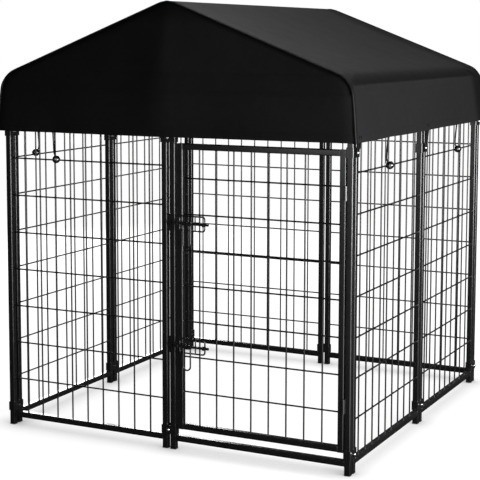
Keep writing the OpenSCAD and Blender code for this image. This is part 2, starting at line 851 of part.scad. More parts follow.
front_left_panel();
right_front_panel();
right_rear_panel();
back_right_panel();
back_left_panel();
left_rear_panel();
left_front_panel();
door_surround();
door_leaf();
hinge_frame_leaves();
hinge_door_leaves();
hinge_pins();
upper_latch_cage();
lower_latch_cage();
upper_latch_rod();
lower_latch_rod();
upper_latch_handle();
lower_latch_handle();
upper_keeper();
lower_keeper();
clamp_outer_plates();
clamp_inner_plates();
clamp_bolts();
clamp_nuts();
foot_caps();
top_plugs();
front_left_arch();
front_right_arch();
rear_left_arch();
rear_right_arch();
front_ridge_connector();
rear_ridge_connector();
ridge_pole();
cover_roof_sheet();
cover_front_gable();
cover_rear_gable();
tie_cords();
tie_balls();
hem_loops();
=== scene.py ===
import math
import bmesh
import bpy
from mathutils import Matrix, Vector, noise


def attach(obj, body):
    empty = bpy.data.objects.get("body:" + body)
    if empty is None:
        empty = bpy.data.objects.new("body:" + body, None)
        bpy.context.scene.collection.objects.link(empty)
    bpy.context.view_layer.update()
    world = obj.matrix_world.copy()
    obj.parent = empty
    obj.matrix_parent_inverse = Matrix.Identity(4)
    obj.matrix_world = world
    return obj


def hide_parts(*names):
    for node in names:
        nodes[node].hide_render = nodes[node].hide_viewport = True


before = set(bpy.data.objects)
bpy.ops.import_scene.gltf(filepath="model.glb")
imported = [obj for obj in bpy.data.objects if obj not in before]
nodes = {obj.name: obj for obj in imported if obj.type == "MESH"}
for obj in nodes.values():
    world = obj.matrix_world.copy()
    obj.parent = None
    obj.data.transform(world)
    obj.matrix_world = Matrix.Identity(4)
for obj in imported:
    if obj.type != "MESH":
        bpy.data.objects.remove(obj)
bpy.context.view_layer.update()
scene = bpy.context.scene
print("frame loaded:", len(nodes), "nodes")

# Camera at the photograph's angle, from a fit to the feet, bolts and cover corners (480 x 480 frame)
viewpoint = {"place": (2.0291, -4.2674, 1.2838), "yaw": -0.4729, "pitch": 0.1029, "focal": 1354.0,
             "axisX": 217.5, "axisY": 178.6, "frame": 480.0}


def makeCamera(v):
    data = bpy.data.cameras.new("viewCamera")
    data.sensor_width = 36.0
    data.lens = 36.0 * v["focal"] / v["frame"]
    data.shift_x = (v["frame"] / 2 - v["axisX"]) / v["frame"]
    data.shift_y = (v["axisY"] - v["frame"] / 2) / v["frame"]
    camera = bpy.data.objects.new("viewCamera", data)
    scene.collection.objects.link(camera)
    ahead = Vector((math.sin(v["yaw"]) * math.cos(v["pitch"]), math.cos(v["yaw"]) * math.cos(v["pitch"]),
                    -math.sin(v["pitch"])))
    camera.location = v["place"]
    camera.rotation_mode = "QUATERNION"
    camera.rotation_quaternion = ahead.to_track_quat("-Z", "Y")
    scene.camera = camera


makeCamera(viewpoint)


# Small mesh tools: everything is collected as points and faces, then made into one mesh per piece

class Shape:
    def __init__(self):
        self.points = []
        self.faces = []

    def add(self, points, faces):
        base = len(self.points)
        self.points += [tuple(p) for p in points]
        self.faces += [tuple(base + i for i in f) for f in faces]

    def mesh(self, name):
        mesh = bpy.data.meshes.new(name)
        mesh.from_pydata(self.points, [], self.faces)
        mesh.validate()
        return mesh


def loft(shape, rings, closed=False, caps=True):
    count = len(rings[0])
    points = [p for ring in rings for p in ring]
    faces = []
    last = len(rings) if closed else len(rings) - 1
    for r in range(last):
        a = r * count
        b = ((r + 1) % len(rings)) * count
        for i in range(count):
            j = (i + 1) % count
            faces.append((a + i, a + j, b + j, b + i))
    if caps and not closed:
        faces.append(tuple(reversed(range(count))))
        faces.append(tuple(range((len(rings) - 1) * count, len(rings) * count)))
    shape.add(points, faces)


def roundedSquare(side, corner, steps):
    ring = []
    far = side / 2 - corner
    for q, (sx, sy) in enumerate(((1, 1), (-1, 1), (-1, -1), (1, -1))):
        for i in range(steps + 1):
            angle = math.pi / 2 * (q + i / steps)
            ring.append((sx * far + corner * math.cos(angle), sy * far + corner * math.sin(angle)))
    return ring


def circle(radius, sides):
    return [(radius * math.cos(2 * math.pi * i / sides), radius * math.sin(2 * math.pi * i / sides))
            for i in range(sides)]


def bar(shape, start, end, ring, side, caps=False):
    start, end, side = Vector(start), Vector(end), Vector(side)
    other = (end - start).normalized().cross(side)
    loft(shape, [[p + side * a + other * b for a, b in ring] for p in (start, end)], caps=caps)


def sweep(shape, path, radius, sides, closed=False, caps=True):
    path = [Vector(p) for p in path]
    count = len(path)
    rings = []
    side = None
    for i, p in enumerate(path):
        before = path[i - 1] if closed or i > 0 else p
        after = path[(i + 1) % count] if closed or i < count - 1 else p
        along = (after - before).normalized()
        if side is None:
            side = along.orthogonal().normalized()
        side = (side - along * side.dot(along)).normalized()
        other = along.cross(side)
        r = radius[i] if isinstance(radius, list) else radius
        rings.append([p + side * a + other * b for a, b in circle(r, sides)])
    loft(shape, rings, closed, caps)


def blob(shape, centre, size, sides=8, rings=5):
    centre = Vector(centre)
    points = [centre + Vector((0, 0, -size[2]))]
    for r in range(1, rings):
        tilt = math.pi * r / rings - math.pi / 2
        for i in range(sides):
            turn = 2 * math.pi * i / sides
            points.append(centre + Vector((size[0] * math.cos(tilt) * math.cos(turn),
                                           size[1] * math.cos(tilt) * math.sin(turn),
                                           size[2] * math.sin(tilt))))
    points.append(centre + Vector((0, 0, size[2])))
    top = len(points) - 1
    faces = []
    for i in range(sides):
        j = (i + 1) % sides
        faces.append((0, 1 + j, 1 + i))
        faces.append((top, top - sides + i, top - sides + j))
        for r in range(rings - 2):
            a = 1 + r * sides
            faces.append((a + i, a + j, a + sides + j, a + sides + i))
    shape.add(points, faces)


def smoothCurve(points, steps):
    points = [Vector(p) for p in points]
    ends = [2 * points[0] - points[1]] + points + [2 * points[-1] - points[-2]]
    out = []
    for i in range(1, len(ends) - 2):
        a, b, c, d = ends[i - 1:i + 3]
        for k in range(steps):
            t = k / steps
            out.append(0.5 * (2 * b + (c - a) * t + (2 * a - 5 * b + 4 * c - d) * t * t
                              + (3 * b - a - 3 * c + d) * t ** 3))
    return out + [points[-1]]


def makePiece(name, shape, material, body, sharp=40, weighted=False):
    mesh = shape if isinstance(shape, bpy.types.Mesh) else shape.mesh(name)
    piece = bpy.data.objects.new(name, mesh)
    scene.collection.objects.link(piece)
    mesh.materials.clear()
    mesh.materials.append(material)
    mesh.polygons.foreach_set("use_smooth", [True] * len(mesh.polygons))
    if sharp:
        mesh.set_sharp_from_angle(angle=math.radians(sharp))
    if weighted:  # keeps the flats of rounded tubes flat in the shading
        even = piece.modifiers.new("evenNormals", "WEIGHTED_NORMAL")
        even.keep_sharp = True
    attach(piece, body)
    return piece


# Shared surface effects, each one node group

def addNode(tree, kind, x, y, **settings):
    node = tree.nodes.new(kind)
    node.location = (x, y)
    for key, value in settings.items():
        setattr(node, key, value)
    return node


def plug(tree, node, values):  # links each socket to its input, and sets each constant on its input
    for label, value in values.items():
        if isinstance(value, bpy.types.NodeSocket):
            tree.links.new(value, node.inputs[label])
        else:
            node.inputs[label].default_value = value
    return node


def newGroup(name, inputs, outputs):
    tree = bpy.data.node_groups.new(name, "ShaderNodeTree")
    for label, value in inputs.items():
        socket = tree.interface.new_socket(name=label, in_out="INPUT", socket_type="NodeSocketFloat")
        socket.default_value = value
    for label in outputs:
        tree.interface.new_socket(name=label, in_out="OUTPUT", socket_type="NodeSocketFloat")
    given = addNode(tree, "NodeGroupInput", -900, 0).outputs
    return tree, given, addNode(tree, "NodeGroupOutput", 700, 0)


def mathNode(tree, operation, x, y, *values):
    node = addNode(tree, "ShaderNodeMath", x, y, operation=operation)
    return plug(tree, node, dict(enumerate(values))).outputs[0]


def axesOf(tree, source, x, y):
    return plug(tree, addNode(tree, "ShaderNodeSeparateXYZ", x, y), {0: source}).outputs


def noiseField(tree, values, x, y):  # noise over the object's own metres
    where = addNode(tree, "ShaderNodeTexCoord", x - 300, y).outputs["Object"]
    field = addNode(tree, "ShaderNodeTexNoise", x, y)
    return plug(tree, field, dict(values, Vector=where)).outputs["Fac"]


def makeCoatGrain():  # orange peel of a powder coat, and its slow change of gloss
    tree, given, result = newGroup("coatGrain", {"Peel Scale": 900.0, "Patch Scale": 14.0},
                                   ("Height", "Patches"))
    peel = noiseField(tree, {"Scale": given["Peel Scale"], "Detail": 3.0}, -500, 250)
    patches = noiseField(tree, {"Scale": given["Patch Scale"], "Detail": 4.0}, -500, -100)
    plug(tree, result, {"Height": peel, "Patches": patches})
    return tree


def makeSettledDust():  # thin dust on faces that look up, broken up by noise
    tree, given, result = newGroup("settledDust", {"Amount": 0.2, "Scale": 30.0}, ("Mask",))
    spots = noiseField(tree, {"Scale": given["Scale"], "Detail": 5.0}, -600, 250)
    facing = addNode(tree, "ShaderNodeNewGeometry", -900, -250).outputs["Normal"]
    up = mathNode(tree, "MAXIMUM", -400, -250, axesOf(tree, facing, -650, -250)["Z"], 0.0)
    level = mathNode(tree, "POWER", -280, -200, up, 2.0)
    mask = mathNode(tree, "MULTIPLY", -150, 100, level, spots)
    plug(tree, result, {"Mask": mathNode(tree, "MULTIPLY", 100, 50, mask, given["Amount"])})
    return tree


def makePlainWeave():  # over-and-under threads along the cloth's own metres
    tree, given, result = newGroup("plainWeave", {"Threads": 700.0}, ("Height",))
    where = addNode(tree, "ShaderNodeTexCoord", -900, 300).outputs["UV"]
    axes = axesOf(tree, where, -700, 300)
    waves = []
    for axis, y in (("X", 300), ("Y", 100)):
        turn = mathNode(tree, "MULTIPLY", -500, y, axes[axis], given["Threads"])
        turn = mathNode(tree, "MULTIPLY", -330, y, turn, math.pi)
        waves.append(mathNode(tree, "SINE", -160, y, turn))
    crossing = mathNode(tree, "MULTIPLY", 0, 200, *waves)
    pick = addNode(tree, "ShaderNodeMix", 300, 100, data_type="FLOAT")
    plug(tree, pick, {"Factor": mathNode(tree, "GREATER_THAN", 60, 350, crossing, 0.0),
                      "A": mathNode(tree, "ABSOLUTE", 60, 50, waves[0]),
                      "B": mathNode(tree, "ABSOLUTE", 60, -150, waves[1])})
    plug(tree, result, {"Height": pick.outputs["Result"]})
    return tree


def makeClothMottle():  # clouding of a coated cloth: broad patches and a finer crumple
    tree, given, result = newGroup("clothMottle", {"Broad": 5.0, "Fine": 34.0}, ("Mask", "Crumple"))
    broad, fine = [noiseField(tree, {"Scale": given[label], "Detail": 5.0, "Roughness": 0.55}, -500, y)
                   for label, y in (("Broad", 300), ("Fine", 0))]
    both = mathNode(tree, "ADD", -200, 200, mathNode(tree, "MULTIPLY", -330, 300, broad, 0.65),
                    mathNode(tree, "MULTIPLY", -330, 100, fine, 0.35))
    plug(tree, result, {"Mask": both, "Crumple": fine})
    return tree


def makeBraid():  # crossed strands round an elastic cord, from its own position
    tree, given, result = newGroup("braidedSleeve", {"Pitch": 900.0}, ("Height",))
    where = addNode(tree, "ShaderNodeTexCoord", -900, 200).outputs["Object"]
    strands = []
    for lean, y in ((0.8, 200), (-0.8, -150)):
        turned = addNode(tree, "ShaderNodeMapping", -650, y)
        plug(tree, turned, {"Vector": where, "Rotation": (lean, lean, 0.4)})
        wave = addNode(tree, "ShaderNodeTexWave", -400, y, bands_direction="DIAGONAL")
        plug(tree, wave, {"Vector": turned.outputs["Vector"], "Scale": given["Pitch"]})
        strands.append(wave.outputs["Fac"])
    plug(tree, result, {"Height": mathNode(tree, "MAXIMUM", -100, 50, *strands)})
    return tree


coatGrain = makeCoatGrain()
settledDust = makeSettledDust()
plainWeave = makePlainWeave()
clothMottle = makeClothMottle()
braidedSleeve = makeBraid()
print("node groups made")


# Finishes

def startMaterial(name, settings):
    material = bpy.data.materials.new(name)
    material.use_nodes = True
    tree = material.node_tree
    shader = tree.nodes["Principled BSDF"]
    shader.location = (500, 0)
    tree.nodes["Material Output"].location = (850, 0)
    return material, tree, plug(tree, shader, settings)


def useGroup(tree, group, values, x, y):
    return plug(tree, addNode(tree, "ShaderNodeGroup", x, y, node_tree=group), values).outputs


def rgba(colour):
    return colour if isinstance(colour, bpy.types.NodeSocket) else (*colour, 1.0)


def tint(tree, mask, low, high, x, y):  # from one colour to another by a mask
    mix = addNode(tree, "ShaderNodeMix", x, y, data_type="RGBA")
    return plug(tree, mix, {"A": rgba(low), "B": rgba(high), "Factor": mask}).outputs["Result"]


def spread(tree, value, ends, x, y):  # a mask's middle range drawn out between two ends
    node = addNode(tree, "ShaderNodeMapRange", x, y)
    plug(tree, node, {"Value": value, "From Min": 0.3, "From Max": 0.7, "To Min": ends[0], "To Max": ends[1]})
    return node.outputs["Result"]


def bumped(tree, height, strength, depth, x, y, **under):
    node = addNode(tree, "ShaderNodeBump", x, y)
    return plug(tree, node, dict(under, Strength=strength, Distance=depth, Height=height)).outputs["Normal"]


def grainOf(tree, f):
    return useGroup(tree, coatGrain, {"Peel Scale": f["peel"], "Patch Scale": f["patch"]}, -600, 100)


def coatSettings(f):
    return {"Metallic": f["metallic"], "Specular IOR Level": f["specular"], "Coat Weight": f["coat"],
            "Coat IOR": f["coatIndex"], "Coat Roughness": f["coatGloss"]}


powderLook = {"dark": (0.004, 0.004, 0.0044), "light": (0.008, 0.008, 0.0086), "gloss": (0.22, 0.30),
              "metallic": 0.0, "specular": 0.25, "coat": 1.0, "coatIndex": 2.0, "coatGloss": 0.22,
              "peel": 850.0, "patch": 14.0, "bump": 0.02, "depth": 0.0002, "dust": 0.05, "dustScale": 26.0,
              "dustColour": (0.16, 0.155, 0.15)}
wireLook = dict(powderLook, gloss=(0.24, 0.34), specular=0.4, coat=0.35, dust=0.03)


def powderFinish(name, f):
    material, tree, shader = startMaterial(name, coatSettings(f))
    grain = grainOf(tree, f)
    dust = useGroup(tree, settledDust, {"Amount": f["dust"], "Scale": f["dustScale"]}, -600, -250)
    colour = tint(tree, grain["Patches"], f["dark"], f["light"], -250, 250)
    plug(tree, shader, {"Base Color": tint(tree, dust["Mask"], colour, f["dustColour"], 0, 250),
                        "Roughness": spread(tree, grain["Patches"], f["gloss"], 0, 0),
                        "Normal": bumped(tree, grain["Height"], f["bump"], f["depth"], 0, -250)})
    return material


powderCoat = powderFinish("powderCoat", powderLook)
wireCoat = powderFinish("wireCoat", wireLook)

capLook = {"dark": (0.008, 0.008, 0.008), "light": (0.018, 0.018, 0.018), "gloss": (0.42, 0.56),
           "metallic": 0.0, "specular": 0.5, "coat": 0.0, "coatIndex": 1.5, "coatGloss": 0.08,
           "peel": 2400.0, "patch": 60.0, "bump": 0.25, "depth": 0.0002}
ballLook = dict(capLook, dark=(0.004, 0.004, 0.004), light=(0.007, 0.007, 0.0075), gloss=(0.14, 0.20),
                bump=0.03, coat=1.0, coatIndex=2.6)
pipingLook = dict(capLook, dark=(0.003, 0.003, 0.003), light=(0.006, 0.006, 0.006), gloss=(0.46, 0.58),
                  bump=0.10, specular=0.3)
zincLook = dict(capLook, dark=(0.50, 0.51, 0.53), light=(0.78, 0.79, 0.80), gloss=(0.32, 0.16), metallic=1.0,
                peel=1600.0, patch=220.0, bump=0.10, depth=0.0001)


def plainFinish(name, f):  # moulded plastic, vinyl or plated metal
    material, tree, shader = startMaterial(name, coatSettings(f))
    grain = grainOf(tree, f)
    plug(tree, shader, {"Base Color": tint(tree, grain["Patches"], f["dark"], f["light"], -200, 250),
                        "Roughness": spread(tree, grain["Patches"], f["gloss"], -200, 0),
                        "Normal": bumped(tree, grain["Height"], f["bump"], f["depth"], 0, -250)})
    return material


zincPlate = plainFinish("zincPlate", zincLook)
capPlastic = plainFinish("capPlastic", capLook)
ballPlastic = plainFinish("ballPlastic", ballLook)
pipingVinyl = plainFinish("pipingVinyl", pipingLook)

cordLook = {"dark": (0.003, 0.003, 0.003), "light": (0.009, 0.009, 0.0095), "gloss": 0.7, "specular": 0.2,
            "pitch": 380.0, "bump": 0.6, "depth": 0.0006}


def cordFinish(f):
    settings = {"Roughness": f["gloss"], "Specular IOR Level": f["specular"]}
    material, tree, shader = startMaterial("elasticCord", settings)
    height = useGroup(tree, braidedSleeve, {"Pitch": f["pitch"]}, -600, 100)["Height"]
    plug(tree, shader, {"Base Color": tint(tree, height, f["dark"], f["light"], -200, 250),
                        "Normal": bumped(tree, height, f["bump"], f["depth"], 0, -250)})
    return material


elasticCord = cordFinish(cordLook)

# The last two entries paint shade into the cloth's colour: how strongly, and the colour of that painted shade
clothLook = {"dark": (0.007, 0.007, 0.0075), "light": (0.0145, 0.0145, 0.0153), "gloss": (0.72, 0.58),
             "specular": 0.10, "sheen": 0.012, "sheenGloss": 0.5, "broad": 4.5, "fine": 38.0,
             "threads": 620.0, "weaveBump": 0.22, "weaveDepth": 0.0003, "crumpleBump": 0.10,
             "crumpleDepth": 0.01, "dust": 0.02, "dustScale": 9.0, "dustColour": (0.12, 0.12, 0.118),
             "paintedShadeStrength": 0.9, "paintedShadeColour": (0.0014, 0.0014, 0.0016)}


def clothFinish(name, f):
    settings = {"Specular IOR Level": f["specular"], "Sheen Weight": f["sheen"],
                "Sheen Roughness": f["sheenGloss"]}
    material, tree, shader = startMaterial(name, settings)
    mottle = useGroup(tree, clothMottle, {"Broad": f["broad"], "Fine": f["fine"]}, -700, 200)
    weave = useGroup(tree, plainWeave, {"Threads": f["threads"]}, -700, -150)
    dust = useGroup(tree, settledDust, {"Amount": f["dust"], "Scale": f["dustScale"]}, -700, 500)
    colour = tint(tree, mottle["Mask"], f["dark"], f["light"], -300, 350)
    colour = tint(tree, dust["Mask"], colour, f["dustColour"], 0, 350)
    # Painted shade: the sheet's own mask darkens the cloth's colour at the eave crease, the piping groove,
    # the rakes, the peak and the rear ends
    fold = addNode(tree, "ShaderNodeAttribute", -300, 600, attribute_name="paintedClothShade").outputs["Fac"]
    shade = mathNode(tree, "MULTIPLY", -50, 600, fold, f["paintedShadeStrength"])
    crumple = bumped(tree, mottle["Crumple"], f["crumpleBump"], f["crumpleDepth"], -150, -350)
    threads = bumped(tree, weave["Height"], f["weaveBump"], f["weaveDepth"], 150, -250, Normal=crumple)
    plug(tree, shader, {"Base Color": tint(tree, shade, colour, f["paintedShadeColour"], 200, 350),
                        "Roughness": spread(tree, mottle["Mask"], f["gloss"], -300, 80), "Normal": threads})
    return material


coverCloth = clothFinish("coverCloth", clothLook)
print("finishes made")


# Welded walls: rounded square tubes, round wire, spot welds at the crossings and beads at the tube joints
wall = {"tube": 0.019, "corner": 0.0028, "cornerSteps": 4, "wire": 0.005, "wireShift": 0.00225,
        "wireSides": 12, "bead": 0.0010, "beadSink": 0.0006, "beadStep": 0.0025, "spot": 0.0031,
        "bite": 0.001, "width": 0.605, "height": 1.027, "lowRail": 0.027, "foot": 0.003, "uprights": 9,
        "levels": 7, "gap": 0.009}
halfWidth = wall["width"] + wall["gap"] / 2
halfDepth = halfWidth + wall["tube"] + wall["gap"]


def weldBead(shape, plane, middle, form):  # rippled bead round the end of a rail
    path = [Vector((plane, middle[0] + a, middle[1] + b))
            for a, b in roundedSquare(form["tube"] - form["beadSink"], form["corner"], 3)]
    fine = []
    for i, p in enumerate(path):
        q = path[(i + 1) % len(path)]
        steps = max(1, round((q - p).length / form["beadStep"]))
        fine += [p.lerp(q, k / steps) for k in range(steps)]
    ripple = [form["bead"] * (1 + 0.22 * noise.noise(p * 400.0)) for p in fine]
    sweep(shape, fine, ripple, 5, closed=True)


def tubeFrame(shape, form):
    t, bite = form["tube"], form["bite"]
    ring = roundedSquare(t, form["corner"], form["cornerSteps"])
    for x in (t / 2, form["width"] - t / 2):
        bar(shape, (x, t / 2, form["foot"]), (x, t / 2, form["height"]), ring, (1, 0, 0), caps=True)
    for z in (form["lowRail"] + t / 2, form["height"] - t / 2):
        bar(shape, (t - bite, t / 2, z), (form["width"] - t + bite, t / 2, z), ring, (0, 1, 0))
        for x in (t, form["width"] - t):
            weldBead(shape, x, (t / 2, z), form)


def wireGrid(shape, form, uprightXs, levelZs):
    t, bite = form["tube"], form["bite"]
    ring = circle(form["wire"] / 2, form["wireSides"])
    low, high = form["lowRail"] + t - bite, form["height"] - t + bite
    left, right = t - bite, form["width"] - t + bite
    outer, inner = t / 2 - form["wireShift"], t / 2 + form["wireShift"]
    spot = form["spot"]
    wide, thin = spot * 1.15, spot * 0.55
    for x in uprightXs:
        bar(shape, (x, inner, low), (x, inner, high), ring, (1, 0, 0))
        for z in (low + bite, high - bite):
            blob(shape, (x, inner, z), (wide, wide, thin))
    for z in levelZs:
        bar(shape, (left, outer, z), (right, outer, z), ring, (0, 1, 0))
        for x in (left + bite, right - bite):
            blob(shape, (x, outer, z), (thin, wide, wide))
        for x in uprightXs:
            size = spot * (0.92 + 0.12 * noise.noise((x * 91.0, z * 57.0, 0.3)))
            blob(shape, (x, t / 2, z), (size, 0.0023, size))


def evenSpaces(first, last, count):
    step = (last - first) / (count + 1)
    return [first + step * (i + 1) for i in range(count)]


def wallSpot(x, y, turn):  # a wall's own frame, with its outer face to the front
    return Matrix.Translation((x, y, 0)) @ Matrix.Rotation(math.radians(turn), 4, "Z")


wallShape, wallWires = Shape(), Shape()
tubeFrame(wallShape, wall)
wireGrid(wallWires, wall, evenSpaces(wall["tube"] / 2, wall["width"] - wall["tube"] / 2, wall["uprights"]),
         evenSpaces(wall["lowRail"] + wall["tube"] / 2, wall["height"] - wall["tube"] / 2, wall["levels"]))
wallPlaces = {
    "front_left_panel": (-halfWidth, -halfDepth, 0), "right_front_panel": (halfWidth, -halfWidth, 90),
    "right_rear_panel": (halfWidth, wall["gap"] / 2, 90), "back_right_panel": (halfWidth, halfDepth, 180),
    "back_left_panel": (-wall["gap"] / 2, halfDepth, 180), "left_rear_panel": (-halfWidth, halfWidth, -90),
    "left_front_panel": (-halfWidth, -wall["gap"] / 2, -90)}
wallFrameMesh, wallWireMesh = wallShape.mesh("wallFrame"), wallWires.mesh("wallWires")
for node, at in wallPlaces.items():
    place = wallSpot(*at)
    for label, source, coat in (("Frame", wallFrameMesh, powderCoat), ("Grid", wallWireMesh, wireCoat)):
        mesh = source.copy()
        mesh.transform(place)
        words = node.split("_")
        name = words[0] + "".join(w.capitalize() for w in words[1:-1]) + label
        piece = makePiece(name, mesh, coat, "kennel", weighted=label == "Frame")
        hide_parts(node)

surroundShape = Shape()
tubeFrame(surroundShape, wall)
surroundMesh = surroundShape.mesh("doorSurroundFrame")
surroundMesh.transform(Matrix.Translation((wall["gap"] / 2, -halfDepth, 0)))
surround = makePiece("doorSurroundFrame", surroundMesh, powderCoat, "kennel", weighted=True)
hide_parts("door_surround")
print("walls made")

# Door: the same welded work, carried by the door's body
door = dict(wall, width=0.556, height=0.897, lowRail=0.0, foot=0.0, uprights=8, pitchX=0.0586, levels=7,
            pitchZ=0.1115, left=0.0315, bottom=0.068)
doorPlace = Matrix.Translation((door["left"], -halfDepth, door["bottom"]))
doorFrame, doorGrid = Shape(), Shape()
tubeFrame(doorFrame, door)
firstWire = (door["width"] - (door["uprights"] - 1) * door["pitchX"]) / 2
wireGrid(doorGrid, door, [firstWire + i * door["pitchX"] for i in range(door["uprights"])],
         [door["tube"] / 2 + (k + 1) * door["pitchZ"] for k in range(door["levels"])])
for name, shape, coat in (("doorFrame", doorFrame, powderCoat), ("doorGrid", doorGrid, wireCoat)):
    mesh = shape.mesh(name)
    mesh.transform(doorPlace)
    piece = makePiece(name, mesh, coat, "door", weighted=name == "doorFrame")
    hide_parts("door_leaf")
print("door made")

# Ties along each wall: the places of the bungees, and the places and bolt heights of the hem loops
tieAlong = {"front": (-0.406,), "right": (-0.350, 0.347), "left": (-0.4535,), "back": (0.395, -0.395)}
loopAlong = {"right": ((-0.614, 0.957), (0.0, 0.927)), "left": ((0.0, 0.927),)}

# Cover: one sewn sheet of roof, side drops and gables, with piping, a turned hem and stitching
cover = {"halfX": 0.6285, "halfY": 0.6565, "hemZ": 0.986, "ridgeZ": 1.405, "pitch": math.radians(21.3),
         "lean": math.radians(6.5), "eaveBend": 0.077, "crestBend": 0.085, "slopeSag": 0.017,
         "eaveSag": 0.011, "creaseRise": 0.028, "creaseWidth": 0.055, "gableBulge": 0.040, "rearShare": 0.4,
         "gableRecess": 0.0022, "cornerTurn": 0.008, "cornerWidth": 0.034, "gableLean": 0.016,
         "rakeGroove": 0.004, "rearTuck": 0.003, "tuckLength": 0.07, "piping": 0.0036, "pipingGroove": 0.018,
         "grooveDepth": 0.0026, "grooveWidth": 0.006, "puckers": 0.0022, "hemFold": 0.024,
         "hemThick": 0.0004, "hemWave": 0.0018, "hemPull": 0.0055, "pullWidth": 0.055, "pullHeight": 0.10,
         "hemEnds": 0.02, "stitchPitch": 0.0064, "stitchSink": 0.0002, "seamStitch": 0.011,
         "thread": 0.00055, "ripple": 0.0016, "columns": 76, "cloth": 0.0013}
turnAngle = math.pi / 2 - cover["pitch"]
riseTan, leanTan = math.tan(cover["pitch"]), math.tan(cover["lean"])
eaveX = (cover["halfX"] - (cover["ridgeZ"] - cover["hemZ"]) * leanTan) / (1 - riseTan * leanTan)
eaveSet = cover["eaveBend"] / math.cos((turnAngle - cover["lean"]) / 2)
eaveMid = (turnAngle + cover["lean"]) / 2
bendX = eaveX - eaveSet * math.cos(eaveMid)
bendZ = cover["ridgeZ"] - eaveX * riseTan - eaveSet * math.sin(eaveMid)
crestZ = cover["ridgeZ"] - cover["crestBend"] / math.cos(cover["pitch"])


def bendRow(x, z, radius, angle):  # point and outward normal on a bend
    nx, nz = math.cos(angle), math.sin(angle)
    return x + radius * nx, z + radius * nz, nx, nz


def halfProfile():  # right half from the hem to the crest: x, z, normal x, normal z
    rows = []
    nx, nz = math.cos(cover["lean"]), math.sin(cover["lean"])
    rise = bendZ + cover["eaveBend"] * nz - cover["hemZ"]
    heights = [0.0, 0.003, 0.012, 0.0205, 0.0225, 0.0245, 0.027, 0.034]  # close rows at the hem's fold
    hemTop = heights[-1]
    heights += [hemTop + (rise - hemTop) * i / 9 for i in range(1, 9)]
    for h in heights:
        rows.append((cover["halfX"] - h * leanTan, cover["hemZ"] + h, nx, nz))
    for i in range(17):
        a = cover["lean"] + (turnAngle - cover["lean"]) * i / 16
        rows.append(bendRow(bendX, bendZ, cover["eaveBend"], a))
    x0, z0 = rows[-1][:2]
    x1, z1, nx, nz = bendRow(0.0, crestZ, cover["crestBend"], turnAngle)
    for i in range(1, 30):
        t = i / 30
        rows.append((x0 + (x1 - x0) * t, z0 + (z1 - z0) * t, nx, nz))
    for i in range(6):
        a = turnAngle + cover["pitch"] * i / 5
        rows.append(bendRow(0.0, crestZ, cover["crestBend"], a))
    return rows


profile = halfProfile()
lengths = [0.0]
for a, b in zip(profile, profile[1:]):
    lengths.append(lengths[-1] + math.hypot(b[0] - a[0], b[1] - a[1]))
halfLength = lengths[-1]
bendStart = (bendZ + cover["eaveBend"] * math.sin(cover["lean"]) - cover["hemZ"]) / math.cos(cover["lean"])
bendEnd = bendStart + cover["eaveBend"] * (turnAngle - cover["lean"])
hemRow = 4  # the profile's row that the hem's stitching runs on


def clamp(value):
    return min(1.0, max(0.0, value))


def bump(value, middle, width):
    return math.exp(-((value - middle) / width) ** 2)


def hemPull(along, where):  # how far a wall's ties draw the hem in
    ties = [*tieAlong[where], *(place for place, z in loopAlong.get(where, ()))]
    return sum(cover["hemPull"] * bump(along, t, cover["pullWidth"]) for t in sorted(ties))


def nearHem(s):  # 1 at the hem, 0 above the height that the ties draw in
    return max(0.0, 1 - s / cover["pullHeight"])


def foldWave(u, v, seed):
    return noise.noise((u * 5.0, v * 5.0, seed)) + 0.5 * noise.noise((u * 13.0, v * 13.0, seed + 3.0))


def frontLean(z):  # how far the front gable leans back at a height
    return cover["gableLean"] * clamp((z - cover["hemZ"]) / (cover["ridgeZ"] - cover["hemZ"]))


def gableWave(x, z, low, face):  # soft waves of a gable, and its pull at the ties
    pull = hemPull(x, "front" if face < 0 else "back") + cover["ripple"] * math.sin(x * 15.0 + face)
    return cover["ripple"] * foldWave(x, z * 1.3, 5.0 + face) - pull * low


def roofPoint(index, y, side):  # a point of the roof or of a side drop
    x, z, nx, nz = profile[index]
    s = lengths[index]
    span = 1 - min(1.0, abs(y) / cover["halfY"]) ** 2
    fast = 1 - min(1.0, abs(y) / cover["halfY"]) ** 10
    inward = 0.0
    t = (s - bendEnd) / (halfLength - bendEnd)
    if 0 < t < 1:
        inward += cover["slopeSag"] * math.sin(math.pi * t) ** 1.3 * span
    wave = foldWave(s * 1.4, y * 1.2, 1.7 + side)
    inward += cover["ripple"] * wave * fast * (1 - bump(s, halfLength, 0.05))
    seam = bendStart + cover["creaseRise"]
    sunk = bump(s, seam, cover["creaseWidth"]) if s > seam else min(1.0, s / seam)
    drawn = cover["eaveSag"] * fast * sunk  # the eave falls in between the gables
    low = nearHem(s)
    drawn += hemPull(y, "right" if side > 0 else "left") * low
    drawn -= cover["hemWave"] * math.sin(y * 17.0 + side) * low * span
    corner = bump(abs(y), cover["halfY"] - 0.07, 0.05) * bump(s, bendEnd - 0.03, 0.05)
    grooveY = cover["halfY"] - cover["pipingGroove"]
    inward += cover["grooveDepth"] * bump(abs(y), grooveY, cover["grooveWidth"])
    inward += cover["puckers"] * math.sin((s - bendEnd) * 150.0 + abs(y) * 70.0) * corner
    fold = cover["hemThick"] if index < hemRow else (-cover["stitchSink"] if index == hemRow else 0.0)
    tuck = clamp((y - cover["halfY"] + cover["tuckLength"]) / cover["tuckLength"])
    drawn += cover["rearTuck"] * tuck * tuck * (1 if s < bendStart else bump(s, bendStart, 0.05))
    px = x - nx * (inward - fold) - drawn
    pz = z - nz * inward + cover["ripple"] * noise.noise((y * 4.0, side * 3.0, 9.1)) * low
    return Vector((side * px, y + frontLean(z) * max(0.0, -y / cover["halfY"]) ** 3, pz))


def slant(nx):  # share of a level inset that counts square to the edge
    return max(0.36, nx)


